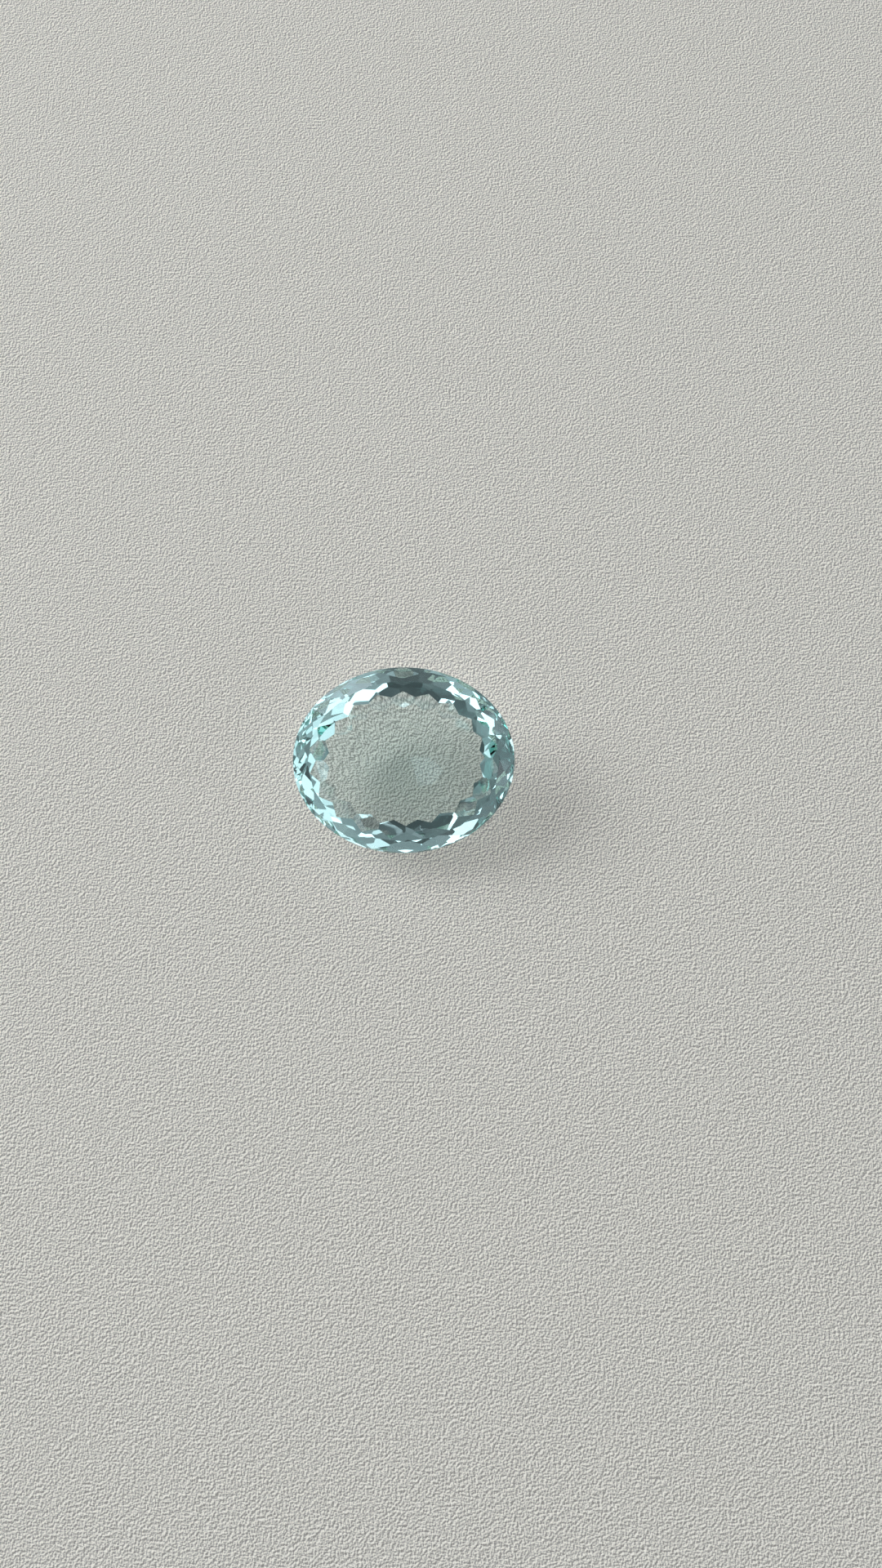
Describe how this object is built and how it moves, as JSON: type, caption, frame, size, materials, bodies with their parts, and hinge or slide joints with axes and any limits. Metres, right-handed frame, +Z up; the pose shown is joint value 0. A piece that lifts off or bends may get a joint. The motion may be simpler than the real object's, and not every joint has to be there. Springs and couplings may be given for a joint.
{
  "type": "prasiolite gemstone",
  "caption": "Loose oval mixed-cut prasiolite: flat table, low crown, thin girdle and a bowl-shaped faceted pavilion, lying on a flat facet beside its keel.",
  "frame": {"origin": "centre of the footprint box on the surface the stone lies on", "axes": "+Z up from the surface; +X along the long axis of the oval"},
  "size_m": [0.0176, 0.014, 0.0084],
  "materials": {
    "quartz": "polished"
  },
  "bodies": {
    "root": {"gemstone": "quartz"}
  },
  "joints": []
}
